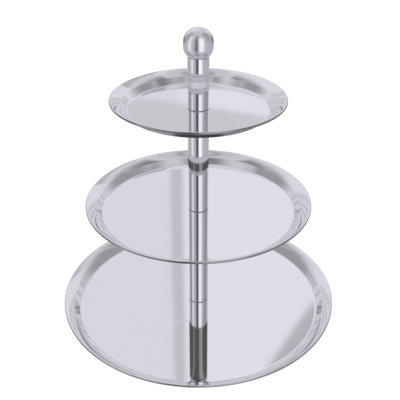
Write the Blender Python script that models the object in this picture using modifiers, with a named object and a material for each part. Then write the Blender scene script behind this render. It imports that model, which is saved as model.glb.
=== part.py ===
"""Three-tier round cake stand: polished steel trays on a screwed tube post, with a ball knob on top.

Metres, +Z up. The origin is on the post's axis, on the surface that the feet stand on.
Every piece turns about the Z axis or stands on it, so each object's origin is on the joints' axis.
"""

import math

import bmesh
import bpy

MM = 0.001

# Trays: radius over the rolled rim, and the section that all three share.
BOTTOM_TRAY_RADIUS = 152.0 * MM
MIDDLE_TRAY_RADIUS = 120.0 * MM
TOP_TRAY_RADIUS = 89.0 * MM
TRAY_DEPTH = 12.5 * MM  # the floor's upper face to the rim's crown
TRAY_SHEET = 0.8 * MM
TRAY_WALL_RUN = 17.0 * MM  # the rim's outer edge to the flat floor's edge, in plan
LIP_RUN = 11.0 * MM  # the rim's outer edge to the bend between wall and lip
LIP_DROP = 6.0 * MM  # the rim's crown to that bend
COVE_RADIUS = 3.0 * MM
RIM_BEAD_RADIUS = 1.4 * MM
RIM_CURL_END = math.radians(-135.0)

# Heights: one tray's floor to the next one's.
MIDDLE_TIER_RISE = 120.0 * MM
TOP_TIER_RISE = 116.0 * MM
TOP_POST_LENGTH = 52.0 * MM

# Post.
POST_RADIUS = 10.75 * MM
POST_WALL = 0.8 * MM
INSERT_LENGTH = 12.0 * MM
INSERT_GROOVE = 0.6 * MM
GASKET_THICKNESS = 0.6 * MM
GASKET_INSET = 0.5 * MM  # the post's outside to the gasket's

# Fasteners: 6 mm threads throughout.
THREAD_RADIUS = 3.0 * MM
THREAD_GRIP = 10.0 * MM  # how far each screw reaches into an insert
SCREW_TIP_CHAMFER = 0.6 * MM
SCREW_HEAD_RADIUS = 6.0 * MM
SCREW_HEAD_HEIGHT = 2.4 * MM
HEX_ACROSS_FLATS = 4.0 * MM
HEX_DEPTH = 1.4 * MM
BASE_WASHER_RADIUS = 12.0 * MM
BASE_WASHER_THICKNESS = 1.0 * MM

# Ball knob.
BALL_RADIUS = 15.0 * MM
BALL_BAND = 2.6 * MM  # the straight band between its two half shells
BALL_WALL = 1.0 * MM
BALL_OPENING_RADIUS = 6.0 * MM
BUSH_FLANGE_RADIUS = 7.5 * MM
BUSH_FLANGE_THICKNESS = 1.0 * MM
BUSH_BARREL_LENGTH = 9.0 * MM
KNOB_WASHER_RADIUS = 7.0 * MM
KNOB_WASHER_THICKNESS = 0.8 * MM

# Feet.
FOOT_RADIUS = 6.0 * MM
FOOT_HEIGHT = 4.5 * MM
FOOT_EDGE_INSET = 15.0 * MM  # the flat floor's edge to the foot's centre
FOOT_TAPER = 0.8 * MM
FOOT_COUNT = 4

CLEARANCE = 0.3 * MM  # between any two pieces that touch, and round every thread

TRAY_STEPS = 48
POST_STEPS = 28
SMALL_STEPS = 16
RIM_STEPS = 6
COVE_STEPS = 2
BALL_HALF_STEPS = 5

# Sizes that follow from those above.
BORE_RADIUS = THREAD_RADIUS + CLEARANCE
POST_BORE = POST_RADIUS - POST_WALL
INSERT_RADIUS = POST_BORE - CLEARANCE
GASKET_RADIUS = POST_RADIUS - GASKET_INSET
SEAT = 2 * CLEARANCE + GASKET_THICKNESS  # a tray's face to the post's end, past the gasket

# Levels above the surface.
BOTTOM_FLOOR = FOOT_HEIGHT + CLEARANCE + TRAY_SHEET
MIDDLE_FLOOR = BOTTOM_FLOOR + MIDDLE_TIER_RISE
TOP_FLOOR = MIDDLE_FLOOR + TOP_TIER_RISE
LOWER_POST_FOOT = BOTTOM_FLOOR + SEAT
LOWER_POST_HEAD = MIDDLE_FLOOR - TRAY_SHEET - SEAT
UPPER_POST_FOOT = MIDDLE_FLOOR + SEAT
UPPER_POST_HEAD = TOP_FLOOR - TRAY_SHEET - SEAT
TOP_POST_FOOT = TOP_FLOOR + SEAT
TOP_POST_HEAD = TOP_POST_FOOT + TOP_POST_LENGTH
BALL_CENTRE = TOP_POST_HEAD + CLEARANCE + math.sqrt(BALL_RADIUS**2 - POST_BORE**2)  # of its lower half
BALL_OPENING_DEPTH = math.sqrt(BALL_RADIUS**2 - BALL_OPENING_RADIUS**2)
BUSH_SHOULDER = BALL_CENTRE - BALL_OPENING_DEPTH - CLEARANCE
BUSH_FACE = BUSH_SHOULDER - BUSH_FLANGE_THICKNESS
KNOB_WASHER_FACE = BUSH_FACE - CLEARANCE - KNOB_WASHER_THICKNESS
TOP_INSERT_HEAD = KNOB_WASHER_FACE - CLEARANCE


def clear_scene():
    for old in list(bpy.data.objects):
        bpy.data.objects.remove(old, do_unlink=True)


def new_collection(name):
    collection = bpy.data.collections.new(name)
    bpy.context.scene.collection.children.link(collection)
    return collection


def metal(name, shade, roughness):
    material = bpy.data.materials.new(name)
    material.use_nodes = True
    shader = material.node_tree.nodes["Principled BSDF"]
    shader.inputs["Base Color"].default_value = (*shade, 1.0)
    shader.inputs["Metallic"].default_value = 1.0
    shader.inputs["Roughness"].default_value = roughness
    return material


def rubber(name, shade, roughness):
    material = metal(name, shade, roughness)
    material.node_tree.nodes["Principled BSDF"].inputs["Metallic"].default_value = 0.0
    return material


def add_object(name, mesh, level, material, collection):
    """Places a mesh on the post's axis at this level."""
    mesh.materials.append(material)
    piece = bpy.data.objects.new(name, mesh)
    piece.location.z = level
    collection.objects.link(piece)
    return piece


def arc(centre_r, centre_z, radius, start, end, steps):
    """Points (r, z) along an arc, with both ends."""
    turn = (end - start) / steps
    angles = [start + turn * i for i in range(steps + 1)]
    return [(centre_r + radius * math.cos(a), centre_z + radius * math.sin(a)) for a in angles]


def turned(name, profile, closed, level, steps, material, collection):
    """Turns a profile of (r, z) points about Z. It runs down the outer side, so the faces point out."""
    mesh = bpy.data.meshes.new(name)
    edges = [(i, i + 1) for i in range(len(profile) - 1)]
    if closed:
        edges.append((len(profile) - 1, 0))
    mesh.from_pydata([(r, 0.0, z) for r, z in profile], edges, [])
    piece = add_object(name, mesh, level, material, collection)
    screw = piece.modifiers.new("Turn", "SCREW")
    screw.steps = steps
    screw.render_steps = steps
    screw.use_merge_vertices = True
    screw.merge_threshold = 0.00001
    screw.use_smooth_shade = False
    return piece


def apply_modifiers(piece):
    """Makes the evaluated mesh the object's own, shaded smooth with crisp edges."""
    graph = bpy.context.evaluated_depsgraph_get()
    mesh = bpy.data.meshes.new_from_object(piece.evaluated_get(graph), depsgraph=graph)
    piece.modifiers.clear()
    piece.data = mesh
    mesh.shade_smooth()
    mesh.set_sharp_from_angle(angle=math.radians(35.0))


def ring_profile(inner, outer, height):
    return [(inner, height), (outer, height), (outer, 0.0), (inner, 0.0)]


def tray_profile(radius):
    """The tray's upper face, from the centre hole out, over the rim and round its curl. Its floor is at z = 0."""
    bead_r = radius - RIM_BEAD_RADIUS
    bead_z = TRAY_DEPTH - RIM_BEAD_RADIUS
    bend = (radius - LIP_RUN, TRAY_DEPTH - LIP_DROP)
    to_bead = (bead_r - bend[0], bead_z - bend[1])
    reach = math.hypot(*to_bead)
    lip_slope = math.atan2(to_bead[1], to_bead[0]) + math.asin(RIM_BEAD_RADIUS / reach)
    floor_edge = radius - TRAY_WALL_RUN
    wall_slope = math.atan2(bend[1], bend[0] - floor_edge)
    cove_start = floor_edge - COVE_RADIUS * math.tan(wall_slope / 2)
    cove_from = -math.pi / 2
    cove = arc(cove_start, COVE_RADIUS, COVE_RADIUS, cove_from, cove_from + wall_slope, COVE_STEPS)
    curl = arc(bead_r, bead_z, RIM_BEAD_RADIUS, lip_slope + math.pi / 2, RIM_CURL_END, RIM_STEPS)
    return [(BORE_RADIUS, 0.0)] + cove + [bend] + curl


def add_tray(name, radius, floor_level, steel, collection):
    """A pressed tray: one sheet with a flat floor, a wall, a flared lip and a rolled rim."""
    tray = turned(name, tray_profile(radius), False, floor_level, TRAY_STEPS, steel, collection)
    sheet = tray.modifiers.new("Sheet", "SOLIDIFY")
    sheet.thickness = TRAY_SHEET
    sheet.offset = -1.0
    sheet.use_even_offset = True
    apply_modifiers(tray)


def add_ring(name, inner, outer, level, height, steps, material, collection):
    """A tube, a washer or a gasket."""
    ring = turned(name, ring_profile(inner, outer, height), True, level, steps, material, collection)
    apply_modifiers(ring)


def add_insert(name, level, steel, collection):
    """A threaded plug pressed into the end of a tube, with a groove round its middle."""
    groove = INSERT_RADIUS - INSERT_GROOVE
    third = INSERT_LENGTH / 3
    profile = [
        (BORE_RADIUS, INSERT_LENGTH),
        (INSERT_RADIUS, INSERT_LENGTH),
        (INSERT_RADIUS, 2 * third),
        (groove, 2 * third),
        (groove, third),
        (INSERT_RADIUS, third),
        (INSERT_RADIUS, 0.0),
        (BORE_RADIUS, 0.0),
    ]
    apply_modifiers(turned(name, profile, True, level, SMALL_STEPS, steel, collection))


def add_stud(name, foot, head, steel, collection):
    """A threaded rod with chamfered ends."""
    length = head - foot
    tip = THREAD_RADIUS - SCREW_TIP_CHAMFER
    profile = [
        (0.0, length),
        (tip, length),
        (THREAD_RADIUS, length - SCREW_TIP_CHAMFER),
        (THREAD_RADIUS, SCREW_TIP_CHAMFER),
        (tip, 0.0),
        (0.0, 0.0),
    ]
    apply_modifiers(turned(name, profile, False, foot, SMALL_STEPS, steel, collection))


def add_hex_cutter(level, collection):
    """The socket's hexagon, longer than its depth so that it leaves the screw head cleanly."""
    bits = bmesh.new()
    corner = HEX_ACROSS_FLATS / math.sqrt(3)
    bmesh.ops.create_cone(
        bits, cap_ends=True, segments=6, radius1=corner, radius2=corner, depth=2 * HEX_DEPTH
    )
    mesh = bpy.data.meshes.new("hex_cutter")
    bits.to_mesh(mesh)
    bits.free()
    cutter = bpy.data.objects.new("hex_cutter", mesh)
    cutter.location.z = level
    cutter.hide_render = True
    cutter.display_type = "WIRE"
    collection.objects.link(cutter)
    return cutter


def add_base_screw(steel, collection, cutters):
    """A low-headed socket screw, driven up from below through the washer, the tray and the gasket."""
    head_top = FOOT_HEIGHT - BASE_WASHER_THICKNESS - CLEARANCE
    head_bottom = head_top - SCREW_HEAD_HEIGHT
    length = LOWER_POST_FOOT + THREAD_GRIP - head_bottom
    tip = THREAD_RADIUS - SCREW_TIP_CHAMFER
    profile = [
        (0.0, length),
        (tip, length),
        (THREAD_RADIUS, length - SCREW_TIP_CHAMFER),
        (THREAD_RADIUS, SCREW_HEAD_HEIGHT),
        (SCREW_HEAD_RADIUS, SCREW_HEAD_HEIGHT),
        (SCREW_HEAD_RADIUS, SCREW_TIP_CHAMFER),
        (SCREW_HEAD_RADIUS - SCREW_TIP_CHAMFER, 0.0),
        (0.0, 0.0),
    ]
    screw = turned("base_screw", profile, False, head_bottom, SMALL_STEPS, steel, collection)
    socket = screw.modifiers.new("Socket", "BOOLEAN")
    socket.operation = "DIFFERENCE"
    socket.object = add_hex_cutter(head_bottom, cutters)


def add_base(steel, fastener_steel, silicone, collection, cutters):
    add_tray("bottom_tray", BOTTOM_TRAY_RADIUS, BOTTOM_FLOOR, steel, collection)
    add_base_screw(fastener_steel, collection, cutters)
    washer_level = FOOT_HEIGHT - BASE_WASHER_THICKNESS
    add_ring(
        "base_washer", BORE_RADIUS, BASE_WASHER_RADIUS, washer_level, BASE_WASHER_THICKNESS,
        POST_STEPS, fastener_steel, collection,
    )
    circle = BOTTOM_TRAY_RADIUS - TRAY_WALL_RUN - FOOT_EDGE_INSET
    foot_profile = [(0.0, FOOT_HEIGHT), (FOOT_RADIUS, FOOT_HEIGHT), (FOOT_RADIUS - FOOT_TAPER, 0.0), (0.0, 0.0)]
    for i in range(FOOT_COUNT):
        foot = turned(f"foot_{i + 1}", foot_profile, False, 0.0, SMALL_STEPS, silicone, collection)
        turn = 2 * math.pi * (i + 0.5) / FOOT_COUNT
        foot.location.x = circle * math.cos(turn)
        foot.location.y = circle * math.sin(turn)
        apply_modifiers(foot)


def add_gasket(name, level, silicone, collection):
    """A thin soft washer between a tray and the end of the post, with its lower face at this level."""
    add_ring(
        name, BORE_RADIUS, GASKET_RADIUS, level, GASKET_THICKNESS, POST_STEPS, silicone, collection
    )


def add_post_section(name, foot, head, bottom_insert, top_insert, steel, fastener_steel, collection):
    """A tube and the threaded plugs in its two ends, each plug given by its lower face."""
    add_ring(f"{name}_tube", POST_BORE, POST_RADIUS, foot, head - foot, POST_STEPS, steel, collection)
    add_insert(f"{name}_bottom_insert", bottom_insert, fastener_steel, collection)
    add_insert(f"{name}_top_insert", top_insert, fastener_steel, collection)


def add_lower_section(steel, fastener_steel, silicone, collection):
    add_gasket("bottom_tray_gasket", BOTTOM_FLOOR + CLEARANCE, silicone, collection)
    add_post_section(
        "lower_post", LOWER_POST_FOOT, LOWER_POST_HEAD, LOWER_POST_FOOT,
        LOWER_POST_HEAD - INSERT_LENGTH, steel, fastener_steel, collection,
    )
    add_gasket("middle_tray_lower_gasket", LOWER_POST_HEAD + CLEARANCE, silicone, collection)
    add_stud(
        "middle_stud", LOWER_POST_HEAD - THREAD_GRIP, UPPER_POST_FOOT + THREAD_GRIP,
        fastener_steel, collection,
    )


def add_upper_section(steel, fastener_steel, silicone, collection):
    add_tray("middle_tray", MIDDLE_TRAY_RADIUS, MIDDLE_FLOOR, steel, collection)
    add_gasket("middle_tray_upper_gasket", MIDDLE_FLOOR + CLEARANCE, silicone, collection)
    add_post_section(
        "upper_post", UPPER_POST_FOOT, UPPER_POST_HEAD, UPPER_POST_FOOT,
        UPPER_POST_HEAD - INSERT_LENGTH, steel, fastener_steel, collection,
    )
    add_gasket("top_tray_lower_gasket", UPPER_POST_HEAD + CLEARANCE, silicone, collection)
    add_stud(
        "top_stud", UPPER_POST_HEAD - THREAD_GRIP, TOP_POST_FOOT + THREAD_GRIP,
        fastener_steel, collection,
    )


def add_top_section(steel, fastener_steel, silicone, collection):
    add_tray("top_tray", TOP_TRAY_RADIUS, TOP_FLOOR, steel, collection)
    add_gasket("top_tray_upper_gasket", TOP_FLOOR + CLEARANCE, silicone, collection)
    add_post_section(
        "top_post", TOP_POST_FOOT, TOP_POST_HEAD, TOP_POST_FOOT,
        TOP_INSERT_HEAD - INSERT_LENGTH, steel, fastener_steel, collection,
    )


def add_knob(steel, fastener_steel, silicone, collection):
    """A hollow ball of two half shells on a flanged bush, with the stud that screws into the post."""
    add_ring(
        "knob_washer", BORE_RADIUS, KNOB_WASHER_RADIUS, KNOB_WASHER_FACE, KNOB_WASHER_THICKNESS,
        POST_STEPS, silicone, collection,
    )
    opening = math.asin(BALL_OPENING_RADIUS / BALL_RADIUS)
    inner_radius = BALL_RADIUS - BALL_WALL
    inner_opening = math.asin(BALL_OPENING_RADIUS / inner_radius)
    quarter = math.pi / 2
    outside = arc(0.0, BALL_BAND, BALL_RADIUS, quarter, 0.0, BALL_HALF_STEPS)
    outside += arc(0.0, 0.0, BALL_RADIUS, 0.0, opening - quarter, BALL_HALF_STEPS)
    inside = arc(0.0, 0.0, inner_radius, inner_opening - quarter, 0.0, BALL_HALF_STEPS)
    inside += arc(0.0, BALL_BAND, inner_radius, 0.0, quarter, BALL_HALF_STEPS)
    outside[0] = (0.0, BALL_BAND + BALL_RADIUS)
    inside[-1] = (0.0, BALL_BAND + inner_radius)
    ball = turned("ball_knob", outside + inside, False, BALL_CENTRE, POST_STEPS, steel, collection)
    apply_modifiers(ball)
    barrel = BALL_OPENING_RADIUS - CLEARANCE
    bush_profile = [
        (BORE_RADIUS, BUSH_FLANGE_THICKNESS + BUSH_BARREL_LENGTH),
        (barrel, BUSH_FLANGE_THICKNESS + BUSH_BARREL_LENGTH),
        (barrel, BUSH_FLANGE_THICKNESS),
        (BUSH_FLANGE_RADIUS, BUSH_FLANGE_THICKNESS),
        (BUSH_FLANGE_RADIUS, 0.0),
        (BORE_RADIUS, 0.0),
    ]
    bush = turned("knob_bush", bush_profile, True, BUSH_FACE, SMALL_STEPS, fastener_steel, collection)
    apply_modifiers(bush)
    stud_head = BUSH_SHOULDER + BUSH_BARREL_LENGTH - CLEARANCE
    add_stud("knob_stud", TOP_INSERT_HEAD - THREAD_GRIP, stud_head, fastener_steel, collection)


clear_scene()
parts = new_collection("tiered_cake_stand")
cutters = new_collection("cutters")
polished_steel = metal("polished_steel", (0.80, 0.80, 0.82), 0.06)
fastener_steel = metal("fastener_steel", (0.62, 0.62, 0.64), 0.35)
clear_silicone = rubber("clear_silicone", (0.80, 0.82, 0.83), 0.45)
add_base(polished_steel, fastener_steel, clear_silicone, parts, cutters)
add_lower_section(polished_steel, fastener_steel, clear_silicone, parts)
add_upper_section(polished_steel, fastener_steel, clear_silicone, parts)
add_top_section(polished_steel, fastener_steel, clear_silicone, parts)
add_knob(polished_steel, fastener_steel, clear_silicone, parts)
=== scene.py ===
import math

import bpy
from mathutils import Euler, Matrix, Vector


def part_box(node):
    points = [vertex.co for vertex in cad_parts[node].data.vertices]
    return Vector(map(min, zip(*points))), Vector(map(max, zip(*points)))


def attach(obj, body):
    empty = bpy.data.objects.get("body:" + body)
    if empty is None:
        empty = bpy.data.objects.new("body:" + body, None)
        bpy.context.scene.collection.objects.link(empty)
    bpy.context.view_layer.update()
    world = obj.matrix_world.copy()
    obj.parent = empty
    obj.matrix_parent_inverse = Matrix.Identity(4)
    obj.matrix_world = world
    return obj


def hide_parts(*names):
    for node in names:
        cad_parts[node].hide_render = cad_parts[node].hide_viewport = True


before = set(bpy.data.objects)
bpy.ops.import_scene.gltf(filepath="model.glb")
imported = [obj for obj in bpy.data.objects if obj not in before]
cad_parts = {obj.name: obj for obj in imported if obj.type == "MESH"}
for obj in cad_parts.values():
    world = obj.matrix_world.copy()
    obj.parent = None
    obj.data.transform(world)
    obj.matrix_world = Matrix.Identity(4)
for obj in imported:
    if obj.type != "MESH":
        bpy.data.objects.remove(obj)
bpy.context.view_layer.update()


# --- Studio ------------------------------------------------------------------------------------
# A round white light table in a pale tent. Behind the stand the tent is bright; the side where the
# camera stands is grey, with two tall windows of light and a narrow dark gap between them. The
# camera itself sees a plain white backdrop.

bpy.ops.object.select_all(action="DESELECT")

CAMERA_BACK = 0.6290  # in front of the post
CAMERA_HEIGHT = 0.4954
CAMERA_TILT = math.radians(26.416)
CAMERA_LENS = 60.5
CAMERA_SENSOR = 36.0
TABLE_RADIUS = 0.26
TABLE_GLOW = 0.48
TABLE_WHITE = 1.04  # how bright the camera itself sees the table
TABLE_WHITE_SHARE = 0.97
BACKDROP_WHITE = 1.05

camera_data = bpy.data.cameras.new("camera")
camera_data.lens = CAMERA_LENS
camera_data.sensor_width = CAMERA_SENSOR
camera_data.shift_x = 0.004
camera_data.shift_y = -0.1
camera_data.clip_start = 0.01
camera = bpy.data.objects.new("camera", camera_data)
camera.location = (0.0, -CAMERA_BACK, CAMERA_HEIGHT)
camera.rotation_euler = Euler((math.pi / 2 - CAMERA_TILT, 0.0, 0.0))
bpy.context.scene.collection.objects.link(camera)
bpy.context.scene.camera = camera
bpy.context.scene.view_settings.view_transform = "Standard"


def link(tree, source, target):
    tree.links.new(source, target)


def set_operand(tree, socket, operand):
    """The operand is another socket or a number."""
    if isinstance(operand, bpy.types.NodeSocket):
        link(tree, operand, socket)
    else:
        socket.default_value = operand


def math_node(tree, operation, first, second=0.0):
    node = tree.nodes.new("ShaderNodeMath")
    node.operation = operation
    set_operand(tree, node.inputs[0], first)
    set_operand(tree, node.inputs[1], second)
    return node.outputs[0]


def mix_node(tree, share, first, second):
    """A number between the first and the second."""
    node = tree.nodes.new("ShaderNodeMix")
    set_operand(tree, node.inputs["Factor"], share)
    set_operand(tree, node.inputs["A"], first)
    set_operand(tree, node.inputs["B"], second)
    return node.outputs["Result"]


def mix_shaders(tree, share, first, second):
    node = tree.nodes.new("ShaderNodeMixShader")
    link(tree, share, node.inputs[0])
    link(tree, first, node.inputs[1])
    link(tree, second, node.inputs[2])
    return node.outputs[0]


def soft_step(tree, value, edge, feather):
    """0 below the edge, 1 above it, with a soft change between."""
    node = tree.nodes.new("ShaderNodeMapRange")
    node.interpolation_type = "SMOOTHSTEP"
    node.inputs["From Min"].default_value = edge - feather
    node.inputs["From Max"].default_value = edge + feather
    link(tree, value, node.inputs["Value"])
    return node.outputs["Result"]


def soft_window(tree, value, low, high, feather):
    rise = soft_step(tree, value, low, feather)
    fall = soft_step(tree, value, high, feather)
    return math_node(tree, "SUBTRACT", rise, fall)


world = bpy.data.worlds.new("studio")
bpy.context.scene.world = world
world.use_nodes = True
sky = world.node_tree
sky.nodes.clear()
direction = sky.nodes.new("ShaderNodeTexCoord").outputs["Generated"]
axes = sky.nodes.new("ShaderNodeSeparateXYZ")
link(sky, direction, axes.inputs[0])
bearing = math_node(sky, "ARCTAN2", axes.outputs["X"], axes.outputs["Y"])
azimuth = math_node(sky, "MULTIPLY", bearing, 180.0 / math.pi)
climb = math_node(sky, "ARCSINE", axes.outputs["Z"])
elevation = math_node(sky, "MULTIPLY", climb, 180.0 / math.pi)

# Degrees. Azimuth 0 is behind the stand, positive to the right, and 180 is the camera's side.
# Each panel: azimuth range, elevation range, the two soft edges, and the brightness in it.
TENT = 0.80
ROOM = 0.50  # below the tent's hem
HEM = 5.0
HEM_FEATHER = 2.0
PANELS = [
    # The tent behind: its right half and a fold, the dark gap under it, and two seams above that.
    ((-1.6, 14.0), (16.0, 70.0), 0.5, 6.0, 0.87),
    ((-110.0, 110.0), (3.0, 18.0), 20.0, 1.0, 0.71),
    ((-2.7, -1.5), (24.0, 60.0), 0.4, 2.0, 0.60),
    ((-62.0, 62.0), (-10.0, 2.5), 16.0, 1.5, 0.09),
    ((-110.0, 110.0), (7.5, 9.0), 20.0, 0.9, 0.50),
    ((-110.0, 110.0), (13.0, 14.5), 20.0, 0.9, 0.56),
    # Both sides, and the camera's side: grey, with the two windows and the gap.
    ((52.0, 125.0), (3.0, 50.0), 14.0, 6.0, 0.36),
    ((-125.0, -52.0), (3.0, 50.0), 14.0, 6.0, 0.36),
    ((110.0, 181.0), (-70.0, 48.0), 12.0, 6.0, 0.54),
    ((-181.0, -110.0), (-70.0, 48.0), 12.0, 6.0, 0.54),
    ((138.0, 176.0), (-70.0, 46.0), 4.0, 4.0, 1.05),
    ((-122.0, -98.0), (-70.0, 46.0), 7.0, 4.0, 0.90),
    ((-180.0, -150.0), (-70.0, 46.0), 5.0, 4.0, 0.24),
    ((-180.0, -162.0), (-70.0, 46.0), 4.0, 4.0, 0.09),
    # Above those, where the ceiling begins: dark, with the windows' soft tops.
    ((60.0, 181.0), (50.0, 66.0), 24.0, 3.0, 0.26),
    ((-181.0, -60.0), (50.0, 66.0), 24.0, 3.0, 0.26),
    ((118.0, 160.0), (48.0, 63.0), 18.0, 4.0, 0.66),
    ((-140.0, -96.0), (48.0, 63.0), 18.0, 4.0, 0.66),
    ((-181.0, -158.0), (48.0, 58.0), 10.0, 3.0, 0.08),
    # Overhead: paler, with a ring where the tent is gathered.
    ((-181.0, 181.0), (68.0, 100.0), 1.0, 4.0, 0.62),
    ((-181.0, 181.0), (79.0, 83.0), 1.0, 2.0, 0.42),
]
brightness = mix_node(sky, soft_step(sky, elevation, HEM, HEM_FEATHER), ROOM, TENT)
for across, up, side_feather, end_feather, strength in PANELS:
    wide = soft_window(sky, azimuth, *across, side_feather)
    tall = soft_window(sky, elevation, *up, end_feather)
    brightness = mix_node(sky, math_node(sky, "MULTIPLY", wide, tall), brightness, strength)
# Two sheets behind with a slanted edge: how fast the edge falls with azimuth, its height behind
# the post, the elevations it spans, the soft edge and the brightness.
SLANTED_SHEETS = [
    (-0.13, 21.8, (18.0, 25.0), 0.25, 0.66),
    (1.28, 53.2, (34.5, 60.0), 0.8, 0.52),
]
behind = soft_window(sky, azimuth, -40.0, 40.0, 10.0)
for slant, height, span, feather, strength in SLANTED_SHEETS:
    leaning = math_node(sky, "ADD", elevation, math_node(sky, "MULTIPLY", azimuth, slant))
    inside = math_node(sky, "MULTIPLY", behind, soft_window(sky, elevation, *span, 0.8))
    inside = math_node(sky, "MULTIPLY", inside, soft_step(sky, leaning, height, feather))
    brightness = mix_node(sky, inside, brightness, strength)
tent = sky.nodes.new("ShaderNodeBackground")
tent.inputs["Color"].default_value = (0.955, 0.945, 1.0, 1.0)
link(sky, brightness, tent.inputs["Strength"])
plain = sky.nodes.new("ShaderNodeBackground")
plain.inputs["Color"].default_value = (1.0, 1.0, 1.0, 1.0)
plain.inputs["Strength"].default_value = BACKDROP_WHITE
seen = sky.nodes.new("ShaderNodeLightPath").outputs["Is Camera Ray"]
sky_shown = mix_shaders(sky, seen, tent.outputs[0], plain.outputs[0])
link(sky, sky_shown, sky.nodes.new("ShaderNodeOutputWorld").inputs["Surface"])

bpy.ops.mesh.primitive_circle_add(vertices=96, radius=TABLE_RADIUS, fill_type="NGON")
table = bpy.context.object
table.name = "table_top"
table_paint = bpy.data.materials.new("white_table")
table_paint.use_nodes = True
paint = table_paint.node_tree
paint_shader = paint.nodes["Principled BSDF"]
paint_shader.inputs["Base Color"].default_value = (0.86, 0.86, 0.87, 1.0)
paint_shader.inputs["Roughness"].default_value = 0.7
paint_shader.inputs["Emission Color"].default_value = (0.985, 0.975, 1.0, 1.0)
paint_shader.inputs["Emission Strength"].default_value = TABLE_GLOW
glow = paint.nodes.new("ShaderNodeEmission")
glow.inputs["Strength"].default_value = TABLE_WHITE
to_camera = paint.nodes.new("ShaderNodeLightPath").outputs["Is Camera Ray"]
table_seen = math_node(paint, "MULTIPLY", to_camera, TABLE_WHITE_SHARE)
table_shown = mix_shaders(paint, table_seen, paint_shader.outputs[0], glow.outputs[0])
link(paint, table_shown, paint.nodes["Material Output"].inputs["Surface"])
table.data.materials.append(table_paint)


# --- Trays -------------------------------------------------------------------------------------
# Three round trays pressed from 0.8 mm stainless sheet and polished to a mirror: a flat floor with
# a punched centre hole, a short steep wall, a flared lip, and an edge rolled outward into a bead.

SHEET = 0.0008
TRAY_DEPTH = 0.0125
WALL_RUN = 0.017
LIP_RUN = 0.011
LIP_DROP = 0.006
COVE_RADIUS = 0.003
BEND_RADIUS = 0.0012
LIP_CURVE = math.radians(6.5)  # the lip is this much steeper inside and shallower outside
BEAD_RADIUS = 0.0014
BEAD_WIDTH = 1.8 * BEAD_RADIUS  # how far in from the edge the bead's duller steel with its painted shade begins
CURL_END = -135.0  # degrees: how far the bead is rolled round
BEAD_SHADE_LIMIT = 0.75  # the bead keeps the polished steel where its face looks up more than this, and takes the painted shade where it looks up less
HOLE_RADIUS = 0.0033
TRAY_SIDES = 400

# The painted shade of the undersides that the post mirrors, and the painted streaks of window light on
# them: the turns that each lies between, in degrees, its soft edge and its brightness.
PAINTED_UNDERSIDE_SHADE = 0.10
PAINTED_STREAKS = [((-80.0, -42.0), 8.0, 0.34), ((-152.0, -136.0), 5.0, 0.26)]
# How far up a face may look and still count as underside: on the sheet not at all, and on the edge
# with painted shade far enough to take in the whole of it.
SHEET_LIMIT = 0.0
EDGE_LIMIT = 0.77


def add_haze_group():
    """Light wear on metal: cloudy patches where it was wiped, and fine marks from polishing.
    Gives a roughness and the height of the marks."""
    group = bpy.data.node_groups.new("polish_haze", "ShaderNodeTree")
    sockets = group.interface
    for name, kind in (
        ("Place", "Vector"), ("Marks Place", "Vector"), ("Marks Scale", "Float"),
        ("Base Roughness", "Float"), ("Cloud", "Float"), ("Marks", "Float"),
    ):
        sockets.new_socket(name, in_out="INPUT", socket_type="NodeSocket" + kind)
    for name in ("Roughness", "Height"):
        sockets.new_socket(name, in_out="OUTPUT", socket_type="NodeSocketFloat")
    given = group.nodes.new("NodeGroupInput")
    out = group.nodes.new("NodeGroupOutput")
    clouds = group.nodes.new("ShaderNodeTexNoise")
    clouds.inputs["Scale"].default_value = 28.0
    clouds.inputs["Detail"].default_value = 4.0
    link(group, given.outputs["Place"], clouds.inputs["Vector"])
    marks = group.nodes.new("ShaderNodeTexNoise")
    marks.inputs["Detail"].default_value = 3.0
    link(group, given.outputs["Marks Scale"], marks.inputs["Scale"])
    link(group, given.outputs["Marks Place"], marks.inputs["Vector"])
    cloudy = math_node(group, "MULTIPLY", clouds.outputs["Fac"], given.outputs["Cloud"])
    marked = math_node(group, "MULTIPLY", marks.outputs["Fac"], given.outputs["Marks"])
    worn = math_node(group, "ADD", cloudy, marked)
    rough = math_node(group, "ADD", worn, given.outputs["Base Roughness"])
    link(group, rough, out.inputs["Roughness"])
    link(group, marks.outputs["Fac"], out.inputs["Height"])
    return group


polish_haze = add_haze_group()


def round_place(tree, squash):
    """For marks that run round the axis: distance from it, the squashed turn, and height."""
    parts = tree.nodes.new("ShaderNodeSeparateXYZ")
    link(tree, tree.nodes.new("ShaderNodeTexCoord").outputs["Object"], parts.inputs[0])
    x, y, z = parts.outputs
    square_x = math_node(tree, "MULTIPLY", x, x)
    square_y = math_node(tree, "MULTIPLY", y, y)
    out = math_node(tree, "SQRT", math_node(tree, "ADD", square_x, square_y))
    turn = math_node(tree, "ARCTAN2", y, x)
    joined = tree.nodes.new("ShaderNodeCombineXYZ")
    link(tree, out, joined.inputs[0])
    link(tree, math_node(tree, "MULTIPLY", turn, squash), joined.inputs[1])
    link(tree, z, joined.inputs[2])
    return joined.outputs[0]


def upright_place(tree, squash):
    """For marks that run along the axis: the place with its height squashed."""
    mapping = tree.nodes.new("ShaderNodeMapping")
    mapping.inputs["Scale"].default_value = (1.0, 1.0, squash)
    link(tree, tree.nodes.new("ShaderNodeTexCoord").outputs["Object"], mapping.inputs["Vector"])
    return mapping.outputs[0]


def add_bump(tree, height, depth, normal=None):
    bump = tree.nodes.new("ShaderNodeBump")
    bump.inputs["Strength"].default_value = 1.0
    bump.inputs["Distance"].default_value = depth
    link(tree, height, bump.inputs["Height"])
    if normal:
        link(tree, normal, bump.inputs["Normal"])
    return bump.outputs["Normal"]


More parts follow.
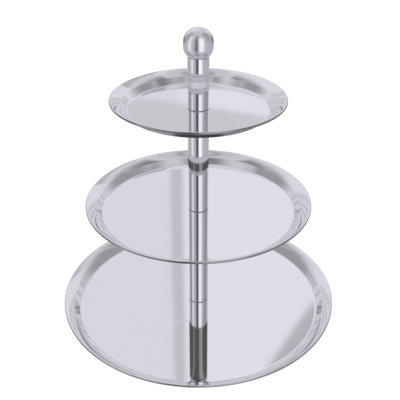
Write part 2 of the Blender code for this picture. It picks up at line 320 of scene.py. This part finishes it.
def add_steel(
    name, tones, marks_place, squash, marks_scale, roughness, cloud, marks, wave, scratch
):
    """Steel whose tone, gloss and fine marks vary, on a sheet that is very slightly wavy."""
    steel = bpy.data.materials.new(name)
    steel.use_nodes = True
    tree = steel.node_tree
    shader = tree.nodes["Principled BSDF"]
    shader.inputs["Metallic"].default_value = 1.0
    place = tree.nodes.new("ShaderNodeTexCoord").outputs["Object"]
    haze = tree.nodes.new("ShaderNodeGroup")
    haze.node_tree = polish_haze
    haze.inputs["Marks Scale"].default_value = marks_scale
    haze.inputs["Base Roughness"].default_value = roughness
    haze.inputs["Cloud"].default_value = cloud
    haze.inputs["Marks"].default_value = marks
    link(tree, place, haze.inputs["Place"])
    link(tree, marks_place(tree, squash), haze.inputs["Marks Place"])
    link(tree, haze.outputs["Roughness"], shader.inputs["Roughness"])
    tone = tree.nodes.new("ShaderNodeMix")
    tone.data_type = "RGBA"
    tone.inputs["A"].default_value = (*tones[0], 1.0)
    tone.inputs["B"].default_value = (*tones[1], 1.0)
    link(tree, haze.outputs["Height"], tone.inputs["Factor"])
    link(tree, tone.outputs["Result"], shader.inputs["Base Color"])
    ripple = tree.nodes.new("ShaderNodeTexNoise")
    ripple.inputs["Scale"].default_value = 14.0
    ripple.inputs["Detail"].default_value = 0.0
    link(tree, place, ripple.inputs["Vector"])
    wavy = add_bump(tree, ripple.outputs["Fac"], wave)
    link(tree, add_bump(tree, haze.outputs["Height"], scratch, wavy), shader.inputs["Normal"])
    return steel


def clear_from_below(steel, upward_limit):
    """The image of a tray's underside in the mirror of the tray below is left out: that ray goes on
    through the sheet to the tent. One that comes by way of the post finds the sheet as painted shade,
    an emission, with streaks of window light painted on it as a painted reflection that runs out from
    the post."""
    tree = steel.node_tree
    polished = tree.nodes["Principled BSDF"].outputs[0]
    upright = tree.nodes.new("ShaderNodeSeparateXYZ")
    link(tree, tree.nodes.new("ShaderNodeNewGeometry").outputs["True Normal"], upright.inputs[0])
    from_below = math_node(tree, "LESS_THAN", upright.outputs["Z"], upward_limit)
    turn = tree.nodes.new("ShaderNodeSeparateXYZ")
    link(tree, round_place(tree, 180.0 / math.pi), turn.inputs[0])
    brightness = PAINTED_UNDERSIDE_SHADE
    for turns, feather, strength in PAINTED_STREAKS:
        streak = soft_window(tree, turn.outputs["Y"], *turns, feather)
        brightness = mix_node(tree, streak, brightness, strength)
    # Painted shade and painted reflection: an emission stands in for the dark underside and the window
    # light on it.
    painted_underside = tree.nodes.new("ShaderNodeEmission")
    link(tree, brightness, painted_underside.inputs["Strength"])
    path = tree.nodes.new("ShaderNodeLightPath")
    clear = tree.nodes.new("ShaderNodeBsdfTransparent").outputs[0]
    first_mirror = math_node(tree, "LESS_THAN", path.outputs["Ray Depth"], 1.5)
    underside = mix_shaders(tree, first_mirror, painted_underside.outputs[0], clear)
    mirrored = mix_shaders(tree, from_below, polished, underside)
    shown = mix_shaders(tree, path.outputs["Is Glossy Ray"], polished, mirrored)
    link(tree, shown, tree.nodes["Material Output"].inputs["Surface"])


tray_steel = add_steel(
    "mirror_tray_steel", ((0.872, 0.868, 0.896), (0.902, 0.898, 0.922)), round_place, 0.004, 900.0,
    roughness=0.010, cloud=0.03, marks=0.03, wave=0.00005, scratch=0.0000004,
)
# Painted shade: a much darker, also rougher copy of the steel for the bead and the faces under the lip
# and wall.
painted_shade_edge_steel = add_steel(
    "rolled_edge_painted_shade_steel", ((0.26, 0.255, 0.27), (0.42, 0.415, 0.43)), round_place, 0.004, 1500.0,
    roughness=0.10, cloud=0.08, marks=0.10, wave=0.00002, scratch=0.000002,
)
clear_from_below(tray_steel, SHEET_LIMIT)
clear_from_below(painted_shade_edge_steel, EDGE_LIMIT)


def arc(centre_r, centre_z, radius, start, end, steps):
    """Points (r, z) along an arc, with both ends, from angles in degrees."""
    angles = [math.radians(start + (end - start) * i / steps) for i in range(steps + 1)]
    return [(centre_r + radius * math.cos(a), centre_z + radius * math.sin(a)) for a in angles]


def ease(start, end, start_slope, end_slope, steps):
    """Points of a gentle curve between two points that leaves and arrives at the given slopes."""
    run, rise = end[0] - start[0], end[1] - start[1]
    first, last = math.tan(start_slope), math.tan(end_slope)
    reach = (rise - last * run) / (first - last)
    middle = (start[0] + reach, start[1] + first * reach)
    shares = [i / steps for i in range(1, steps)]
    return [
        tuple((1 - t) ** 2 * a + 2 * t * (1 - t) * b + t**2 * c for a, b, c in zip(start, middle, end))
        for t in shares
    ]


def turn_outline(name, outline, sides):
    """Starts as a circle and is extruded ring by ring along the outline of (r, z) points."""
    bpy.ops.object.select_all(action="DESELECT")
    at_r, at_z = outline[0]
    bpy.ops.mesh.primitive_circle_add(vertices=sides, radius=at_r, location=(0.0, 0.0, at_z))
    piece = bpy.context.object
    piece.name = name
    bpy.ops.object.transform_apply(location=True, rotation=False, scale=False)
    bpy.ops.object.mode_set(mode="EDIT")
    bpy.ops.mesh.select_all(action="SELECT")
    for r, z in outline[1:]:
        bpy.ops.mesh.extrude_edges_move(TRANSFORM_OT_translate={"value": (0.0, 0.0, z - at_z)})
        bpy.ops.transform.resize(value=(r / at_r, r / at_r, 1.0), center_override=(0.0, 0.0, z))
        at_r, at_z = r, z
    bpy.ops.object.mode_set(mode="OBJECT")
    return piece


def pick(piece):
    bpy.ops.object.select_all(action="DESELECT")
    piece.select_set(True)
    bpy.context.view_layer.objects.active = piece


def tidy_mesh(piece, fill=False):
    """Merges doubled rings, fills the small holes left on the axis, and points the faces out."""
    pick(piece)
    bpy.ops.object.mode_set(mode="EDIT")
    bpy.ops.mesh.select_all(action="SELECT")
    bpy.ops.mesh.remove_doubles(threshold=0.000001)
    if fill:
        bpy.ops.mesh.fill_holes(sides=0)
        bpy.ops.mesh.select_all(action="SELECT")
    bpy.ops.mesh.normals_make_consistent(inside=False)
    bpy.ops.object.mode_set(mode="OBJECT")


def finish(piece, material, body, smooth_angle):
    """Shades the piece, gives it its material and lets it stand for the node it is named after."""
    pick(piece)
    bpy.ops.object.shade_smooth_by_angle(angle=math.radians(smooth_angle))
    piece.data.materials.clear()
    piece.data.materials.append(material)
    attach(piece, body)
    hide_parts(piece.name.removesuffix("_shown"))


def tray_outline(radius, floor):
    """The tray's upper face from the centre hole out, over the lip and round the bead."""
    bead = (radius - BEAD_RADIUS, TRAY_DEPTH - BEAD_RADIUS)
    bend = (radius - LIP_RUN, TRAY_DEPTH - LIP_DROP)
    reach = math.dist(bend, bead)
    lip_slope = math.atan2(bead[1] - bend[1], bead[0] - bend[0]) + math.asin(BEAD_RADIUS / reach)
    steep, shallow = lip_slope + LIP_CURVE, lip_slope - LIP_CURVE
    floor_edge = radius - WALL_RUN
    wall_slope = math.atan2(bend[1], bend[0] - floor_edge)
    cove_start = floor_edge - COVE_RADIUS * math.tan(wall_slope / 2)
    wall_degrees = math.degrees(wall_slope)
    cove = arc(cove_start, COVE_RADIUS, COVE_RADIUS, -90.0, wall_degrees - 90.0, 10)
    # The bend between wall and lip is rounded off, about a centre below the lip.
    tangent = BEND_RADIUS * math.tan((wall_slope - steep) / 2)
    centre = (
        bend[0] - tangent * math.cos(wall_slope) + BEND_RADIUS * math.sin(wall_slope),
        bend[1] - tangent * math.sin(wall_slope) - BEND_RADIUS * math.cos(wall_slope),
    )
    rounding = arc(*centre, BEND_RADIUS, wall_degrees + 90.0, math.degrees(steep) + 90.0, 4)
    curl = arc(*bead, BEAD_RADIUS, math.degrees(shallow) + 90.0, CURL_END, 26)
    lip = ease(rounding[-1], curl[0], steep, shallow, 8)
    # The extra rings by the hole and by the cove keep the floor's shading flat.
    flat = [(HOLE_RADIUS, 0.0), (HOLE_RADIUS + 0.002, 0.0), (cove_start - 0.001, 0.0)]
    return [(r, floor + z) for r, z in flat + cove + rounding + lip + curl]


def add_tray(node, body):
    low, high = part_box(node)
    floor = high[2] - TRAY_DEPTH
    tray = turn_outline(node + "_shown", tray_outline(high[0], floor), TRAY_SIDES)
    tidy_mesh(tray)
    floor_faces = [face for face in tray.data.polygons if face.center.z < floor + 0.00001]
    if min(face.normal.z for face in floor_faces) < 0:
        bpy.ops.object.mode_set(mode="EDIT")
        bpy.ops.mesh.flip_normals()
        bpy.ops.object.mode_set(mode="OBJECT")
    sheet = tray.modifiers.new("sheet", "SOLIDIFY")
    sheet.thickness = SHEET
    sheet.offset = -1.0
    sheet.use_even_offset = True
    bpy.ops.object.modifier_apply(modifier="sheet")
    finish(tray, tray_steel, body, 50.0)
    # Painted shade: the bead where it looks up little, and the faces that look down under the lip and
    # wall, take the darker steel.
    tray.data.materials.append(painted_shade_edge_steel)
    for face in tray.data.polygons:
        out = math.hypot(face.center.x, face.center.y)
        shaded_bead = out > high[0] - BEAD_WIDTH and face.normal.z < BEAD_SHADE_LIMIT
        shaded_outer_face = out > high[0] - WALL_RUN and face.normal.z < 0
        face.material_index = 1 if shaded_bead or shaded_outer_face else 0


add_tray("bottom_tray", "base")
add_tray("middle_tray", "middle_tray")
add_tray("top_tray", "top_tray")


# --- Post tubes ---------------------------------------------------------------------------------
# Three lengths of 21.5 mm stainless tube, sawn square, their edges broken and polished along their
# length. Each stands on the gasket of the tray below.

TUBE_WALL = 0.0008
TUBE_EDGE = 0.00015
TUBE_SIDES = 144
HEAD_GAP = 0.00027  # the play over the tube, taken up when the stand is screwed tight
FOOT_GAP = 0.00055  # the play under it and under its gasket

tube_steel = add_steel(
    "mirror_tube_steel", ((0.865, 0.860, 0.888), (0.905, 0.900, 0.925)), upright_place, 0.03, 1600.0,
    roughness=0.014, cloud=0.03, marks=0.035, wave=0.00002, scratch=0.0000004,
)


def ring_outline(inner, outer, low, high, edge):
    """A ring's section with rounded edges. Rings close to each edge keep its long faces true."""
    hold = min(3 * edge, (high - low) / 3)
    section = arc(outer - edge, low + edge, edge, -90.0, 0.0, 3)
    section += [(outer, low + hold), (outer, high - hold)]
    section += arc(outer - edge, high - edge, edge, 0.0, 90.0, 3)
    section += arc(inner + edge, high - edge, edge, 90.0, 180.0, 3)
    section += [(inner, high - hold), (inner, low + hold)]
    section += arc(inner + edge, low + edge, edge, 180.0, 270.0, 3)
    return section + section[:1]


def add_tube(node, body):
    low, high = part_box(node)
    foot, head = low[2] - FOOT_GAP, high[2] + HEAD_GAP
    outline = ring_outline(high[0] - TUBE_WALL, high[0], foot, head, TUBE_EDGE)
    tube = turn_outline(node + "_shown", outline, TUBE_SIDES)
    tidy_mesh(tube)
    finish(tube, tube_steel, body, 40.0)


add_tube("lower_post_tube", "lower_post")
add_tube("upper_post_tube", "upper_post")
add_tube("top_post_tube", "top_post")


# --- Ball knob ----------------------------------------------------------------------------------
# A hollow ball of two half shells, brazed at a narrow straight band round its middle and polished
# over, with a round opening below that its bush is pressed into.

BALL_WALL = 0.001
BALL_OPENING = 0.006
BALL_EDGE = 0.0003
AXIS_GAP = 0.00005

ball_steel = add_steel(
    "satin_ball_steel", ((0.900, 0.895, 0.920), (0.940, 0.935, 0.955)), round_place, 0.02, 1200.0,
    roughness=0.20, cloud=0.06, marks=0.05, wave=0.00016, scratch=0.0000012,
)


def add_ball(node, body):
    low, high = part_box(node)
    radius = high[0]
    inner = radius - BALL_WALL
    lower = low[2] + math.sqrt(radius**2 - BALL_OPENING**2)
    upper = high[2] - radius
    pole = math.degrees(math.acos(AXIS_GAP / radius))
    mouth = math.degrees(math.asin(BALL_OPENING / radius)) - 90.0
    inner_mouth = math.degrees(math.asin(BALL_OPENING / inner)) - 90.0
    outline = arc(0.0, upper, radius, pole, 0.0, 44)
    # Short of the opening, whose edge is broken.
    outline += arc(0.0, lower, radius, 0.0, mouth + 2.0, 36)
    outline += [(BALL_OPENING, low[2] + BALL_EDGE)]
    outline += arc(0.0, lower, inner, inner_mouth, 0.0, 20)
    outline += arc(0.0, upper, inner, 0.0, pole, 20)
    ball = turn_outline(node + "_shown", outline, 112)
    tidy_mesh(ball, fill=True)
    finish(ball, ball_steel, body, 40.0)


add_ball("ball_knob", "knob")


# --- Threaded plugs ------------------------------------------------------------------------------
# Six steel plugs turned on a lathe and pressed into the ends of the tubes: a groove round the
# middle, chamfered edges, and a 6 mm thread with a pitch of 1 mm cut through the bore.

PITCH = 0.001
PLUG_BORE = 0.0033
PLUG_GROOVE = 0.0006
CHAMFER = 0.0004
THREAD_STEPS = 28
ROOT_HALF = 0.45  # half the ridge's width at its root and at its crest, in pitches
CREST_HALF = 0.08
RIDGE_SINK = 0.0001  # how deep the ridge's root is let into the steel
RIDGE_HEIGHT = 0.0002  # how far a nut's ridge stands into its bore

fastener_steel = add_steel(
    "turned_fastener_steel", ((0.520, 0.515, 0.520), (0.660, 0.655, 0.660)), round_place, 0.01, 4200.0,
    roughness=0.20, cloud=0.10, marks=0.16, wave=0.000005, scratch=0.000012,
)


def add_ridge(root, crest, low, high):
    """One thread ridge that climbs round the axis between two heights, deep at its root."""
    bpy.ops.object.select_all(action="DESELECT")
    bpy.ops.mesh.primitive_plane_add(
        size=1.0, location=(0.0, 0.0, 0.0), rotation=(math.pi / 2, 0.0, 0.0)
    )
    ridge = bpy.context.object
    bpy.ops.object.transform_apply(location=True, rotation=True, scale=False)
    for vertex in ridge.data.vertices:
        at_root = vertex.co.x < 0
        half = PITCH * (ROOT_HALF if at_root else CREST_HALF)
        vertex.co = (root if at_root else crest, 0.0, half if vertex.co.z > 0 else -half)
    bpy.ops.object.mode_set(mode="EDIT")
    bpy.ops.mesh.select_all(action="SELECT")
    bpy.ops.mesh.delete(type="ONLY_FACE")
    bpy.ops.mesh.select_all(action="SELECT")
    bpy.ops.transform.translate(value=(0.0, 0.0, low + ROOT_HALF * PITCH))
    bpy.ops.object.mode_set(mode="OBJECT")
    turns = (high - low) / PITCH - 2 * ROOT_HALF
    climb = ridge.modifiers.new("climb", "SCREW")
    climb.angle = 2 * math.pi * turns
    climb.screw_offset = PITCH * turns
    climb.steps = climb.render_steps = round(THREAD_STEPS * turns)
    climb.use_merge_vertices = False
    bpy.ops.object.modifier_apply(modifier="climb")
    tidy_mesh(ridge, fill=True)
    return ridge


def join_into(piece, other):
    pick(piece)
    other.select_set(True)
    bpy.ops.object.join()


def thread_bore(piece, low, high):
    ridge = add_ridge(PLUG_BORE + RIDGE_SINK, PLUG_BORE - RIDGE_HEIGHT, low, high)
    join_into(piece, ridge)


def add_plug(node, body):
    low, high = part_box(node)
    outer, foot, head = high[0], low[2], high[2]
    third = (head - foot) / 3
    outline = [
        (PLUG_BORE + CHAMFER, foot), (outer - CHAMFER, foot), (outer, foot + CHAMFER),
        (outer, foot + third), (outer - PLUG_GROOVE, foot + third),
        (outer - PLUG_GROOVE, head - third), (outer, head - third), (outer, head - CHAMFER),
        (outer - CHAMFER, head), (PLUG_BORE + CHAMFER, head), (PLUG_BORE, head - CHAMFER),
        (PLUG_BORE, foot + CHAMFER), (PLUG_BORE + CHAMFER, foot),
    ]
    plug = turn_outline(node + "_shown", outline, 64)
    tidy_mesh(plug)
    thread_bore(plug, foot + CHAMFER, head - CHAMFER)
    finish(plug, fastener_steel, body, 30.0)


for section in ("lower_post", "upper_post", "top_post"):
    add_plug(section + "_bottom_insert", section)
    add_plug(section + "_top_insert", section)


# --- Studs and base screw ------------------------------------------------------------------------
# Three lengths of 6 mm threaded steel rod with chamfered ends, and a low-headed socket screw of
# the same thread that is driven up into the post from under the bottom tray.

THREAD_RADIUS = 0.003
THREAD_ROOT = 0.0025
HEAD_HEIGHT = 0.0024
HEX_FLATS = 0.004
HEX_DEPTH = 0.0014
HEAD_EDGE = 0.0006
SHOULDER_EDGE = 0.0002
RUN_OUT = 0.0005  # plain shank between the head and the thread


def thread_rod(rod, low, high):
    join_into(rod, add_ridge(THREAD_ROOT - RIDGE_SINK, THREAD_RADIUS, low, high))


def add_stud(node, body):
    low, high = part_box(node)
    foot, head = low[2], high[2]
    tip = THREAD_ROOT - 2 * CHAMFER
    outline = [
        (AXIS_GAP, foot), (tip, foot), (THREAD_ROOT, foot + 2 * CHAMFER),
        (THREAD_ROOT, head - 2 * CHAMFER), (tip, head), (AXIS_GAP, head),
    ]
    stud = turn_outline(node + "_shown", outline, 48)
    tidy_mesh(stud, fill=True)
    thread_rod(stud, foot + CHAMFER, head - CHAMFER)
    finish(stud, fastener_steel, body, 30.0)


add_stud("middle_stud", "lower_post")
add_stud("top_stud", "upper_post")
add_stud("knob_stud", "knob")


def cut_hexagon(piece, level):
    """Sinks the socket for the key into the screw's head."""
    bpy.ops.object.select_all(action="DESELECT")
    bpy.ops.mesh.primitive_cylinder_add(
        vertices=6, radius=HEX_FLATS / math.sqrt(3), depth=2 * HEX_DEPTH, location=(0.0, 0.0, level)
    )
    key = bpy.context.object
    pick(piece)
    socket = piece.modifiers.new("socket", "BOOLEAN")
    socket.operation = "DIFFERENCE"
    socket.object = key
    bpy.ops.object.modifier_apply(modifier="socket")
    bpy.data.objects.remove(key, do_unlink=True)


def add_base_screw(node, body):
    low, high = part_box(node)
    foot, head, wide = low[2], high[2], high[0]
    shoulder = foot + HEAD_HEIGHT
    tip = THREAD_ROOT - 2 * CHAMFER
    outline = [(AXIS_GAP, foot)]
    outline += arc(wide - HEAD_EDGE, foot + HEAD_EDGE, HEAD_EDGE, -90.0, 0.0, 5)
    outline += [(wide, shoulder - SHOULDER_EDGE), (wide - SHOULDER_EDGE, shoulder)]
    outline += [(THREAD_ROOT, shoulder), (THREAD_ROOT, head - 2 * CHAMFER)]
    outline += [(tip, head), (AXIS_GAP, head)]
    screw = turn_outline(node + "_shown", outline, 64)
    tidy_mesh(screw, fill=True)
    cut_hexagon(screw, foot)
    thread_rod(screw, shoulder + RUN_OUT, head - CHAMFER)
    finish(screw, fastener_steel, body, 30.0)


add_base_screw("base_screw", "base")


# --- Knob bush and base washer -------------------------------------------------------------------
# Turned steel. The bush is a flanged sleeve pressed into the ball's opening, threaded inside for
# the knob's stud; the wide washer spreads the base screw's pull over the sheet.

FLANGE = 0.001
FLANGE_EDGE = 0.0002
OPENING_GAP = 0.0003


def add_bush(node, body):
    low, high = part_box(node)
    wide, foot, head = high[0], low[2], high[2]
    barrel = BALL_OPENING - OPENING_GAP
    top = foot + FLANGE
    outline = [
        (PLUG_BORE + FLANGE_EDGE, foot), (wide - FLANGE_EDGE, foot), (wide, foot + FLANGE_EDGE),
        (wide, top - FLANGE_EDGE), (wide - FLANGE_EDGE, top), (barrel, top),
        (barrel, head - CHAMFER), (barrel - CHAMFER, head), (PLUG_BORE + CHAMFER, head),
        (PLUG_BORE, head - CHAMFER), (PLUG_BORE, foot + FLANGE_EDGE), (PLUG_BORE + FLANGE_EDGE, foot),
    ]
    bush = turn_outline(node + "_shown", outline, 64)
    tidy_mesh(bush)
    thread_bore(bush, foot + FLANGE_EDGE, head - CHAMFER)
    finish(bush, fastener_steel, body, 30.0)


def add_washer(node, body, material, edge):
    low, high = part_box(node)
    outline = ring_outline(PLUG_BORE, high[0], low[2], high[2], edge)
    washer = turn_outline(node + "_shown", outline, 96)
    tidy_mesh(washer)
    finish(washer, material, body, 40.0)


add_bush("knob_bush", "knob")
add_washer("base_washer", "base", fastener_steel, FLANGE_EDGE)


# --- Gaskets and knob washer ---------------------------------------------------------------------
# Thin rings punched from clear silicone sheet. They lie between the trays and the ends of the
# tubes, and one under the knob's bush, so that steel doesn't scratch steel.

GASKET_EDGE = 0.0001
PRESSED_EDGE = 0.00008
GASKET_DROP = 0.00026  # how far the post presses a gasket down onto its tray
GASKET_SQUEEZE = 0.00001  # how much thinner it gets
FLUSH_GAP = 0.00002  # what it lacks of the tube's own radius


def add_silicone(name, thin_tone, thick_tone):
    """Clear rubber: slightly milky, finely dimpled from its mould, with dust held in patches."""
    rubber = bpy.data.materials.new(name)
    rubber.use_nodes = True
    tree = rubber.node_tree
    shader = tree.nodes["Principled BSDF"]
    shader.inputs["IOR"].default_value = 1.41
    shader.inputs["Transmission Weight"].default_value = 0.45
    place = tree.nodes.new("ShaderNodeTexCoord").outputs["Object"]
    dust = tree.nodes.new("ShaderNodeTexNoise")
    dust.inputs["Scale"].default_value = 160.0
    dust.inputs["Detail"].default_value = 5.0
    link(tree, place, dust.inputs["Vector"])
    colour = tree.nodes.new("ShaderNodeMix")
    colour.data_type = "RGBA"
    colour.inputs["A"].default_value = (*thin_tone, 1.0)
    colour.inputs["B"].default_value = (*thick_tone, 1.0)
    link(tree, dust.outputs["Fac"], colour.inputs["Factor"])
    link(tree, colour.outputs["Result"], shader.inputs["Base Color"])
    link(tree, mix_node(tree, dust.outputs["Fac"], 0.32, 0.58), shader.inputs["Roughness"])
    dimples = tree.nodes.new("ShaderNodeTexNoise")
    dimples.inputs["Scale"].default_value = 2600.0
    link(tree, place, dimples.inputs["Vector"])
    link(tree, add_bump(tree, dimples.outputs["Fac"], 0.00002), shader.inputs["Normal"])
    return rubber


clear_silicone = add_silicone("clear_silicone_rubber", (0.86, 0.88, 0.89), (0.72, 0.74, 0.75))

for node, body in (
    ("middle_tray_lower_gasket", "lower_post"), ("top_tray_lower_gasket", "upper_post"),
    ("knob_washer", "knob_washer"),
):
    add_washer(node, body, clear_silicone, GASKET_EDGE)


def add_pressed_gasket(node, body):
    """A gasket with a tube standing on it: pressed down, and squeezed out flush with the tube."""
    low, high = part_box(node)
    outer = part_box("lower_post_tube")[1][0] - FLUSH_GAP
    foot, head = low[2] - GASKET_DROP, high[2] - GASKET_DROP - GASKET_SQUEEZE
    outline = ring_outline(PLUG_BORE, outer, foot, head, PRESSED_EDGE)
    gasket = turn_outline(node + "_shown", outline, 96)
    tidy_mesh(gasket)
    finish(gasket, clear_silicone, body, 40.0)


add_pressed_gasket("bottom_tray_gasket", "bottom_gasket")
add_pressed_gasket("middle_tray_upper_gasket", "middle_gasket")
add_pressed_gasket("top_tray_upper_gasket", "top_gasket")


# --- Feet ----------------------------------------------------------------------------------------
# Four moulded silicone pads glued under the bottom tray: tapered, rounded at the rim that stands
# on the table, and hollowed a little inside it.

FOOT_TAPER = 0.0008
FOOT_EDGE = 0.0007
FOOT_HOLLOW = 0.0004
FOOT_TOP_EDGE = 0.0003


def add_foot(node, body):
    low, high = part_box(node)
    radius, height = (high[0] - low[0]) / 2, high[2]
    rest = radius - FOOT_TAPER
    # From the middle: the hollow's floor, its slope, the ring that stands on the table, the taper.
    outline = [(AXIS_GAP, FOOT_HOLLOW), (0.45 * rest, FOOT_HOLLOW)]
    outline += [(0.62 * rest, FOOT_HOLLOW / 2), (0.74 * rest, 0.0)]
    outline += arc(rest - FOOT_EDGE, FOOT_EDGE, FOOT_EDGE, -90.0, -8.0, 6)
    outline += [(radius, height - FOOT_TOP_EDGE), (radius - FOOT_TOP_EDGE, height)]
    outline += [(AXIS_GAP, height)]
    foot = turn_outline(node + "_shown", outline, 64)
    tidy_mesh(foot, fill=True)
    centre = (low + high) / 2
    bpy.ops.object.mode_set(mode="EDIT")
    bpy.ops.mesh.select_all(action="SELECT")
    bpy.ops.transform.translate(value=(centre[0], centre[1], 0.0))
    bpy.ops.object.mode_set(mode="OBJECT")
    finish(foot, clear_silicone, body, 40.0)


for number in range(1, 5):
    add_foot(f"foot_{number}", "base")
